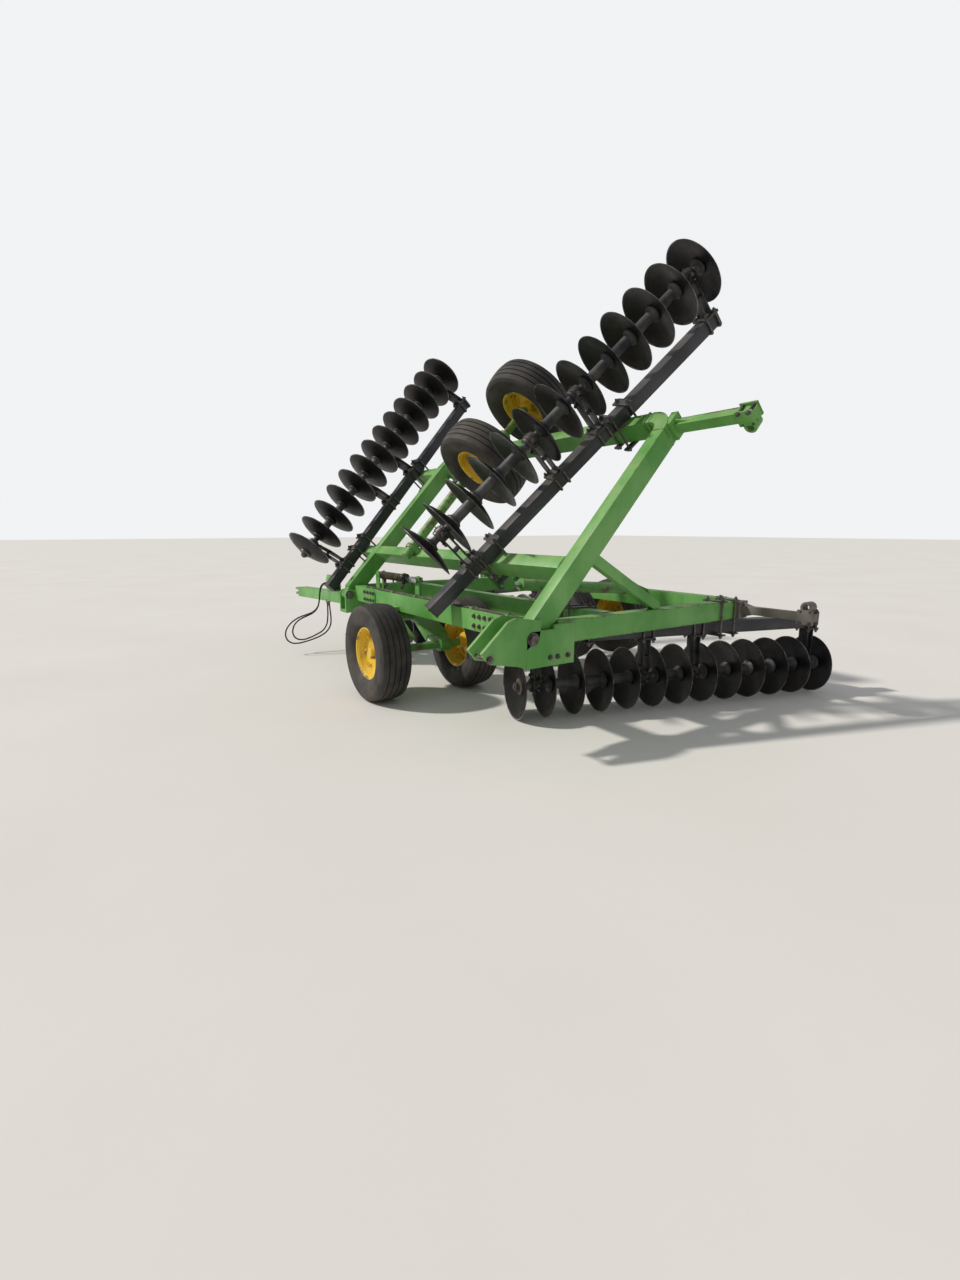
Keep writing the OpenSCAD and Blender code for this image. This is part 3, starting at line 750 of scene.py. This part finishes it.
def dress_standards(name):
    """Each standard: two side plates, a split bearing housing and a head plate held by U bolts."""
    back = GANGS[name][5]
    m = gang_matrix(name)
    iron, bolts = bmesh.new(), bmesh.new()
    web_y, web_z = back * 0.45, HEAD_Z * 0.50
    for b in BEARINGS:
        p = m @ shift((b + 0.5) * PITCH, 0, 0)
        ring_points(HOUSING, 36, p, iron)
        for s in (-1, 1):
            add_plate(iron, p, standard_outline(back), *sorted((s * 0.020, s * 0.030)), 0.0015)
            for y in (-0.0235, 0.0235):
                add_nut(bolts, p, (s * 0.030, y, 0.075), (s, 0, 0), "standard")
            # flange of the housing's halves, with its bolt
            add_box(iron, p, (-0.032, s * 0.050 - 0.012, -0.013), (0.032, s * 0.066 + 0.006, 0.013), 0.002)
            add_nut(bolts, p, (0, s * 0.066, -0.013), (0, 0, -1), "housing")
            add_nut(bolts, p, (0, s * 0.066, 0.013), (0, 0, 1), "housing_head")
        add_box(iron, p, (-0.020, -0.032 - web_y, web_z), (0.020, 0.032 - web_y, web_z + 0.010), 0.001)
        add_box(iron, p, (-0.060, -back - 0.070, HEAD_Z - 0.014), (0.060, -back + 0.070, HEAD_Z), 0.003)
        # grease nipple below the housing
        add_rod(bolts, p, (0, 0, -0.056), (0, 0, -0.070), 0.0045, 8)
        for x in (-0.042, 0.042):
            add_sweep(bolts, p, u_bolt(x, -back, U_REACH, HEAD_Z - 0.040, HEAD_Z + BEAM + U_R), U_R)
            for y in (-U_REACH, U_REACH):
                add_nut(bolts, p, (x, y - back, HEAD_Z - 0.014), (0, 0, -1), "u_bolt")
    body, slot = NODE_BODY[name + "_standards"], NODE_SLOT[name + "_standards"]
    plates = new_object(name + "_standard_plates", iron, body, slot)
    new_object(name + "_standard_bolts", bolts, body, slot, STEEL)
    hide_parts(name + "_standards")


def beam_place(name, a):
    """Place along the machine where a gang's beam passes the outward distance a."""
    inner, y, angle, _, _, back = GANGS[name]
    t = math.radians(angle)
    return y + (a - inner - back * math.sin(t)) * math.tan(t) - back * math.cos(t)


# outward distances where each gang beam passes under a frame tube, and whether it passes under an arm there
PASSES = {
    "left_rear": ((INNER_A, False), (OUTER["left"], False)),
    "left_front": ((INNER_A, False), (OUTER["left"] - 0.210, False)),
    "right_rear": ((INNER_A, False), (1.800, True)),
    "right_front": ((INNER_A, False), (OUTER["right"] - 0.210, False)),
}
# clamps: plate thickness, distance of the bolts from the crossing, and how far the plates pass the bolts
PLATE = 0.012
CLAMP_A = 0.085
PAST = 0.026


def add_clamp(iron, bolts, m, ys, straps_across):
    """Plates under a beam and over a tube, or straps over it, with a bolt at each corner."""
    low, high = -BEAM_D - BEAM / 2, TUBE_H / 2
    for s in (-1, 1):
        x = s * CLAMP_A
        add_box(iron, m, (x - 0.032, ys[0] - PAST, low - PLATE), (x + 0.032, ys[1] + PAST, low), 0.002)
        start, stop = (x - 0.028, ys[0] - PAST), (x + 0.028, ys[1] + PAST)
        if straps_across:
            y = ys[0] if s < 0 else ys[1]
            start, stop = (-CLAMP_A - 0.030, y - PAST), (CLAMP_A + 0.030, y + PAST)
        add_box(iron, m, (*start, high), (*stop, high + PLATE), 0.002)
        for y in ys:
            add_rod(bolts, m, (x, y, low - PLATE - 0.010), (x, y, high + PLATE + 0.010), 0.009, 12)
            add_nut(bolts, m, (x, y, low - PLATE), (0, 0, -1), "clamp")
            add_nut(bolts, m, (x, y, high + PLATE), (0, 0, 1), "clamp")


def dress_beam(name):
    """Clamps that hold a gang beam to the frame tubes, and the plates that close the beam's ends."""
    half = HALVES[name.split("_")[0]]
    body = NODE_BODY[name + "_gang_beam"]
    angle, reach, back = GANGS[name][2], GANGS[name][4], GANGS[name][5]
    turn = Matrix.Rotation(math.radians(angle), 4, "Z")
    iron, bolts = bmesh.new(), bmesh.new()
    for a, under_arm in PASSES[name]:
        y = beam_place(name, a)
        m = half @ shift(a, y, 0)
        if under_arm:
            ys = (min(0.0, REAR_Y - y) - 0.064, max(0.0, REAR_Y - y) + 0.064)
            add_clamp(iron, bolts, m, ys, False)
        else:
            add_clamp(iron, bolts, m @ turn, (-0.066, 0.066), True)
    m = gang_matrix(name) @ shift(0, -back, AXLE_D - BEAM_D)
    closed_ends = [((DISCS - 1) * PITCH - BEAM_SHORT, 1)]
    if "rear" in name:
        closed_ends.append((-reach, -1))
    for x, way in closed_ends:
        outside = x + way * 0.006
        low, high = sorted((x, outside))
        add_box(iron, m, (low, -0.053, -0.053), (high, 0.053, 0.053), 0.0015)
        for y, z in ((-0.034, -0.034), (0.034, 0.034)):
            add_nut(bolts, m, (outside, y, z), (way, 0, 0), "end_plate")
    new_object(name + "_clamps", iron, body, "beam_paint")
    new_object(name + "_clamp_bolts", bolts, body, "beam_paint", STEEL)


# Frame details

# quarter turn that lays x along the machine
QUARTER = Matrix.Rotation(math.radians(90), 4, "Z")


def add_welds(bm, half, outer):
    """Weld beads round a half's joints, the band at its elbow and the tie loop beside it."""
    ring = section_path(TUBE_W / 2 + 0.001, TUBE_H / 2 + 0.001, 0.010)
    for a, y, turn in ((outer - 0.150, REAR_Y, QUARTER), (outer, REAR_Y + 0.150, Matrix()),
                       (outer - 0.150, FRONT_Y, QUARTER), (outer, FRONT_Y - 0.150, Matrix()),
                       (INNER_A, REAR_Y + 0.052, Matrix()), (INNER_A, FRONT_Y - 0.052, Matrix())):
        add_sweep(bm, half @ shift(a, y, 0) @ turn, ring, 0.0045, 8, closed=True)
    band = section_path(TUBE_W / 2 + 0.004, TUBE_H / 2 + 0.004, 0.012)
    add_sweep(bm, half @ shift(outer, REAR_Y + 0.190, 0), band, 0.007, 8, closed=True)
    face, middle = outer + TUBE_W / 2 + 0.006, REAR_Y + 0.290
    loop = [(face, middle + 0.055 * c, 0.032 * s) for c, s in circle(16)]
    add_sweep(bm, half, loop, 0.007, 10, closed=True)


def add_marker_bar(iron, bolts, m):
    """Bar behind the outer tube, with its foot plates, and the clamp and ring at its end."""
    cheek = [(-0.480, -0.055), (-0.600, -0.055), (-0.600, 0.045), (-0.575, 0.055), (-0.480, 0.055)]
    ring = [(0.025, -0.040), (0.040, -0.040), (0.042, -0.038), (0.042, 0.038), (0.040, 0.040), (0.025, 0.040)]
    add_box(iron, m, (-0.032, -0.600, -0.032), (0.032, 0.040, 0.032), 0.006)
    for s in (-1, 1):
        gusset = [(0.045, s * 0.033), (-0.020, s * 0.033), (-0.120, s * 0.033), (0.030, s * 0.072)]
        add_plate(iron, m, gusset, -0.006, 0.006, 0.0)
        add_plate(iron, m, cheek, *sorted((s * 0.033, s * 0.045)), 0.0015)
        for y in (-0.505, -0.575):
            add_rod(bolts, m, (-0.050, y, s * 0.044), (0.050, y, s * 0.044), 0.008, 12)
            add_nut(bolts, m, (s * 0.045, y, s * 0.044), (s, 0, 0), "marker")
    add_box(iron, m, (-0.055, -0.020, -0.070), (0.060, 0.030, 0.070), 0.004)
    ring_points(ring, 32, m @ shift(0, -0.540, 0.074), iron)


def dress_frame(side):
    """Welds of a half, and its marker bar, green on the left and grey on the right."""
    half, outer = HALVES[side], OUTER[side]
    body = NODE_BODY[side + "_outer_tube"]
    bm = bmesh.new()
    add_welds(bm, half, outer)
    new_object(side + "_frame_welds", bm, body, "frame_paint", smooth=60)
    slot = "frame_paint" if side == "left" else "grey_paint"
    iron, bolts = bmesh.new(), bmesh.new()
    add_marker_bar(iron, bolts, half @ shift(outer - 0.050, REAR_Y - TUBE_W / 2, 0))
    bar = new_object(side + "_marker_bar", iron, body, slot)
    new_object(side + "_marker_bolts", bolts, body, slot, STEEL)
    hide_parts(side + "_rear_extension")


# hinge plates: distance of their outer faces from an arm's middle, and height of their lower bolts
HINGE_FACE = 0.085
LOW_BOLT_Z = 0.600
# tie bolt by the unfolded arm's underside: distance to the left of the machine's middle, and height
TIE_A = 0.435
TIE_Z = 0.640


def dress_hinges():
    """Cheeks that guide the unfolded arm at the rear hinge, and the nuts of both hinges."""
    body = NODE_BODY["rear_hinge"]
    across = MACHINE @ QUARTER
    cheek = [(0.160, 0.560), (0.430, 0.610), (0.490, 0.680), (0.300, 0.850), (0.240, 0.870), (0.040, 0.840),
             (0.060, PIN_Z), (0.160, PIN_Z - 0.060)]
    iron, bolts = bmesh.new(), bmesh.new()
    for y in (REAR_Y - HINGE_FACE, REAR_Y + 0.060):
        add_plate(iron, across, cheek, y, y + 0.025, 0.002)
    add_rod(bolts, across, (REAR_Y - 0.090, TIE_A, TIE_Z), (REAR_Y + 0.090, TIE_A, TIE_Z), 0.012, 16)
    nuts = [(REAR_Y, TIE_A, TIE_Z, "tie")]
    for y in (REAR_Y, FRONT_Y):
        nuts.append((y, HINGE_X, PIN_Z, "fold_pin"))
        nuts += [(y, -x, LOW_BOLT_Z, "hinge") for x in (0.030, 0.090, 0.175)]
    for y, a, z, kind in nuts:
        for way in (-1, 1):
            add_nut(bolts, across, (y + way * HINGE_FACE, a, z), (way, 0, 0), kind)
    new_object("rear_hinge_cheeks", iron, body, "frame_paint")
    new_object("hinge_bolts", bolts, body, "frame_paint", STEEL)


# splice plates of the centre beam: the two faces' distance from its middle, and half the length
SPLICE = (0.050, 0.059)
SPLICE_L = 0.130
# top of the centre beam's tube
BEAM_TOP = FRAME_Z + TUBE_H / 2


def dress_center():
    """Splice plates with their bolts and two clipped steel oil lines on the centre beam."""
    body = NODE_BODY["center_beam"]
    low, high = FRAME_Z - 0.060, FRAME_Z + 0.060
    iron, steel = bmesh.new(), bmesh.new()
    for y in (-0.250, 1.720):
        plate = [(y - SPLICE_L, low), (y + SPLICE_L, low), (y + SPLICE_L, high - 0.015),
                 (y + SPLICE_L - 0.015, high), (y - SPLICE_L + 0.015, high), (y - SPLICE_L, high - 0.015)]
        for s in (-1, 1):
            add_plate(iron, MACHINE, plate, *sorted((s * SPLICE[0], s * SPLICE[1])), 0.0015)
            for dy in (-0.100, -0.033, 0.033, 0.100):
                for dz in (-0.035, 0.035):
                    add_nut(steel, MACHINE, (s * SPLICE[1], y + dy, FRAME_Z + dz), (s, 0, 0), "splice")
    for x in (-0.030, -0.008):
        add_sweep(steel, MACHINE, [(x, -0.600, BEAM_TOP + 0.008), (x, 1.850, BEAM_TOP + 0.008)], 0.006, 10)
    for k in range(6):
        y = -0.520 + 0.440 * k
        top = BEAM_TOP + 0.017
        add_box(iron, MACHINE, (-0.046, y - 0.015, BEAM_TOP - 0.001), (0.008, y + 0.015, top), 0.002)
        add_nut(steel, MACHINE, (-0.019, y, top), (0, 0, 1), "clip")
    new_object("center_splices", iron, body, "frame_paint")
    new_object("center_lines", steel, body, "frame_paint", STEEL)


# middle lift axle, as place along the machine and height: its shaft and its spindles; half its arms' height
MID_SHAFT = Vector((1.150, 0.618))
MID_SPINDLE = Vector((0.750, 0.400))
ARM_R = 0.060


def dress_center_arms():
    """Box arms of the middle lift axle over its plain links, with cover plates and ribs below those."""
    along = (MID_SPINDLE - MID_SHAFT).normalized()
    down = Vector((-along.y, along.x))
    turns = [math.radians(-90 + 20 * k) for k in range(10)]
    bow = [along * ARM_R * math.cos(t) + down * ARM_R * math.sin(t) for t in turns]
    outline = []
    for end, way in ((MID_SPINDLE, 1), (MID_SHAFT, -1)):
        outline += [tuple(end + way * p) for p in bow]
    bm = bmesh.new()
    for low, high in ((-0.262, -0.158), (0.158, 0.262)):
        add_plate(bm, MACHINE, outline, low, high, 0.006)
    cover = [(0.11, 0.058), (0.40, 0.058), (0.40, 0.069), (0.11, 0.069)]
    rib = [(0.13, 0.020), (0.39, 0.000), (0.39, 0.060), (0.13, 0.060)]
    cover, rib = ([tuple(MID_SHAFT + along * d - down * h) for d, h in points] for points in (cover, rib))
    for s in (-1, 1):
        add_plate(bm, MACHINE, cover, *sorted((s * 0.060, s * 0.266)), 0.002)
        add_plate(bm, MACHINE, rib, *sorted((s * 0.066, s * 0.078)), 0.001)
    new_object("center_lift_arms", bm, NODE_BODY["center_rockshaft"], "frame_paint")


# Hydraulics

# lift cylinders: radius of the barrel, and anchor and rod's eye as place along the machine and height
BARREL_R = 0.038
WING_LIFT = ((2.050, 0.125), (1.260, 0.195))
WING_LIFT_X = {"left": 1.705, "right": 1.830}
MID_LIFT = ((1.960, 0.930), (1.150, 0.930))
MID_LIFT_X = 0.182


def add_port(iron, steel, m, place, way):
    """A port boss on a cylinder with its elbow fitting, turned back along the cylinder."""
    x, y, z = place
    bore_z = z + 0.062
    add_rod(iron, m, (x, y, z), (x, y, z + 0.020), 0.017, 20, 0.002)
    add_nut(steel, m, (x, y, z + 0.020), (0, 0, 1), "port")
    bend = [(x, y, z + 0.030), (x, y, z + 0.046), (x, y + way * 0.006, z + 0.056),
            (x, y + way * 0.018, bore_z), (x, y + way * 0.050, bore_z)]
    add_sweep(steel, m, bend, 0.009, 12)
    add_nut(steel, m, (x, y + way * 0.030, bore_z), (0, way, 0), "elbow")


def dress_cylinder(name, base, x, start, end):
    """Ports, collars and gland screws of a cylinder whose y runs from its anchor to its rod's eye."""
    dy, dz = end[0] - start[0], end[1] - start[1]
    length = math.hypot(dy, dz)
    m = base @ shift(x, start[0], start[1]) @ Matrix.Rotation(math.atan2(dz, dy), 4, "X")
    iron, steel = bmesh.new(), bmesh.new()
    skin = BARREL_R - 0.004
    add_port(iron, steel, m, (0, 0.090, skin), 1)
    add_port(iron, steel, m, (0, length - 0.300, skin), -1)
    for i in range(6):
        t = math.radians(60 * i + 30)
        place = (0.034 * math.cos(t), length - 0.245, 0.034 * math.sin(t))
        add_nut(steel, m, place, (0, 1, 0), "gland")
    for y, r in ((0.060, BARREL_R + 0.003), (length - 0.280, BARREL_R + 0.009)):
        collar = [(skin, -0.006), (r, -0.006), (r + 0.002, 0), (r, 0.006), (skin, 0.006)]
        ring_points(collar, 32, m @ shift(0, y, 0) @ QUARTER, iron)
    body, slot = NODE_BODY[name + "_barrel"], NODE_SLOT[name + "_barrel"]
    new_object(name + "_ports", iron, body, slot)
    new_object(name + "_fittings", steel, body, slot, STEEL)


# valve sections: count, pitch and first place on the bracket, and the height of their side ports
SECTIONS = 3
SECTION_P = 0.044
SECTION_Y = 0.540
PORT_Z = 0.150


def add_valve_sections(iron, steel, m):
    """Valve sections side by side, each with its cap, lever stub and ports, and their tie rods."""
    for i in range(SECTIONS):
        y = SECTION_Y + SECTION_P * i
        middle = y + 0.020
        add_box(iron, m, (-0.036, y, 0.100), (0.036, y + 0.040, 0.185), 0.004)
        add_rod(iron, m, (0, middle, 0.183), (0, middle, 0.204), 0.015, 20, 0.002)
        add_nut(steel, m, (0, middle, 0.204), (0, 0, 1), "cap")
        add_sweep(steel, m, [(0, middle, 0.212), (0.004, middle, 0.228), (0.016, middle, 0.243)], 0.005, 10)
        for s in (-1, 1):
            add_nut(steel, m, (s * 0.036, middle, PORT_Z), (s, 0, 0), "port")
            add_rod(steel, m, (s * 0.044, middle, PORT_Z), (s * 0.056, middle, PORT_Z), 0.011, 14)
    for s in (-1, 1):
        add_rod(steel, m, (s * 0.026, 0.530, 0.115), (s * 0.026, 0.682, 0.115), 0.005, 10)


def add_hose_ends(iron, steel):
    """The clip and fitting under the tongue and the ferrule at the valve for each hose."""
    for _, points in HOSES.values():
        x, y, z = points[-1]
        add_box(iron, MACHINE, (x - 0.016, y - 0.016, z - 0.012), (x + 0.016, y + 0.016, z + 0.016), 0.002)
        add_nut(steel, MACHINE, (x, y, z - 0.012), (0, 0, -1), "hose")
        add_rod(steel, MACHINE, (x, y, z - 0.026), (x, y, z - 0.055), 0.0095, 14)
        x, y, z = points[0]
        add_rod(steel, MACHINE, (x + 0.004, y, z), (x - 0.026, y, z), 0.0105, 14)


def dress_valve():
    """Hydraulic valve on the tongue: bracket with its guards, sections, levers and hose ports."""
    tongue = MACHINE @ shift(0, FRONT_Y + 0.085, 0.663)
    m = tongue @ Matrix.Rotation(math.radians(-2.3), 4, "X")
    iron, steel = bmesh.new(), bmesh.new()
    add_box(iron, m, (-0.046, 0.508, 0.060), (0.046, 0.702, 0.072), 0.002)
    add_box(iron, m, (-0.043, 0.694, 0.070), (0.043, 0.702, 0.190), 0.001)
    guard = [(0.506, 0.060), (0.704, 0.060), (0.704, 0.195), (0.660, 0.244), (0.550, 0.244), (0.506, 0.195)]
    for x in (-0.050, 0.042):
        add_plate(iron, m, guard, x, x + 0.008, 0.0015)
    add_valve_sections(iron, steel, m)
    add_hose_ends(iron, steel)
    body = NODE_BODY["valve_block"]
    valve = new_object("valve_body", iron, body, "frame_paint")
    new_object("valve_fittings", steel, body, "frame_paint", STEEL)
    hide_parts("valve_block")


# Wheels

# tread: ribs, their share of the tyre's half width, depth and width of the grooves between them
RIBS = 5
TREAD = 0.86
GROOVE_D = 0.011
GROOVE_W = 0.010
# middle wheels: place across and along the machine; half wheels: distances outwards, along and below
MID_WHEEL = (0.420, 0.750)
WING_WHEELS = {"left": (1.440, 2.160), "right": (1.540, 2.290)}
WING_WHEEL_Y = 0.800
WING_WHEEL_D = 0.270


def crown(x):
    """Radius of the tread at a distance from the tyre's middle."""
    share = x / (TYRE_W / 2)
    return TYRE_R - 0.016 * share ** 2 - 0.004 * share ** 4


def tyre_profile():
    """Section of a ribbed implement tyre, from the inner bead over the tread to the outer bead."""
    w = TYRE_W / 2
    side = [(RIM_R - 0.014, -w * 0.62), (RIM_R + 0.012, -w * 0.72), (RIM_R + 0.020, -w * 0.80),
            (RIM_R + 0.045, -w * 0.93), (RIM_R + 0.080, -w * 0.995), (TYRE_R - 0.080, -w),
            (TYRE_R - 0.060, -w * 0.985), (TYRE_R - 0.052, -w * 0.995), (TYRE_R - 0.036, -w * 0.965),
            (TYRE_R - 0.022, -w * 0.90)]
    tread = []
    edge = w * TREAD
    for i in range(RIBS):
        a = -edge + (2 * edge) * i / RIBS
        b = -edge + (2 * edge) * (i + 1) / RIBS
        low = a + (GROOVE_W / 2 if i else 0)
        high = b - (GROOVE_W / 2 if i < RIBS - 1 else 0)
        middle = (low + high) / 2
        tread += [(crown(low), low), (crown(middle), middle), (crown(high), high)]
        if i < RIBS - 1:
            floor = crown(high) - GROOVE_D
            tread += [(floor, high + 0.002), (floor, b + GROOVE_W / 2 - 0.002)]
    return side + tread + [(r, -x) for r, x in side[::-1]]


def rim_profile():
    """Section of a drop centre rim with its dished wheel disc, outer side towards +x."""
    w = TYRE_W / 2
    bead = [(RIM_R + 0.006, w * 0.64), (RIM_R + 0.009, w * 0.68), (RIM_R + 0.004, w * 0.71),
            (RIM_R - 0.008, w * 0.69), (0.193, w * 0.62)]
    inside = [(0.0255, -0.060), (0.048, -0.060), (0.052, -0.056), (0.052, -0.006), (0.078, -0.002),
              (0.118, 0.018), (0.150, 0.018), (0.158, 0.004), (0.160, -0.030), (0.172, -0.045),
              (0.186, -w * 0.50), (0.190, -w * 0.60)]
    outside = [(0.186, w * 0.60), (0.182, w * 0.45), (0.168, 0.040), (0.164, 0.030), (0.150, 0.026),
               (0.118, 0.026), (0.078, 0.006), (0.054, 0.006), (0.052, 0.010), (0.052, 0.044), (0.048, 0.048),
               (0.0255, 0.048)]
    return inside + [(r, -x) for r, x in bead] + bead[::-1] + outside


def wheel_places():
    """Frame of each wheel, and the side of it that its disc's outer face looks to."""
    places = {}
    for side, s in (("left", -1), ("right", 1)):
        places["center_" + side] = (MACHINE @ shift(s * MID_WHEEL[0], MID_WHEEL[1], TYRE_R), s)
    for side, distances in WING_WHEELS.items():
        for name, a, s in zip(("_inner", "_outer"), distances, (-1, 1)):
            places[side + name] = (HALVES[side] @ shift(a, WING_WHEEL_Y, -WING_WHEEL_D), s)
    return places


def dress_wheel(name, place, way):
    """Ribbed tyre, and rim with its wheel nuts, hub cap and valve stem."""
    m = place @ Matrix.Diagonal((way, 1, 1, 1))
    body = name + "_wheel"
    bm = bmesh.new()
    ring_points(tyre_profile(), 96, m, bm)
    tyre = new_object(name + "_tread", bm, body, "tyre_rubber", smooth=38)
    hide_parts(name + "_tyre")
    bm = bmesh.new()
    ring_points(rim_profile(), 72, m, bm)
    bolt_circle = 0.135
    for i in range(6):
        t = math.radians(60 * i)
        add_nut(bm, m, (0.024, bolt_circle * math.cos(t), bolt_circle * math.sin(t)), (1, 0, 0), "wheel")
    ring_points([(0.050, 0.046), (0.048, 0.060), (0.040, 0.070), (0.0, 0.073)], 32, m, bm, closed=False)
    add_sweep(bm, m, [(0.030, 0.0, 0.176), (0.046, 0.0, 0.172), (0.066, 0.0, 0.160)], 0.0045, 8)
    rim = new_object(name + "_disc", bm, body, "rim_paint", smooth=35)
    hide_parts(name + "_rim")


# Making of the pieces

paint_nodes()
round_structure()
for name in GANGS:
    dress_gang(name)
    dress_axle(name)
    dress_standards(name)
    dress_beam(name)
for side in HALVES:
    dress_frame(side)
dress_hinges()
dress_center()
dress_center_arms()
for side, x in WING_LIFT_X.items():
    dress_cylinder(side + "_lift", HALVES[side], x, *WING_LIFT)
dress_cylinder("center_lift", MACHINE, MID_LIFT_X, *MID_LIFT)
dress_valve()
for name, (place, way) in wheel_places().items():
    dress_wheel(name, place, way)

make_stage()
make_light()
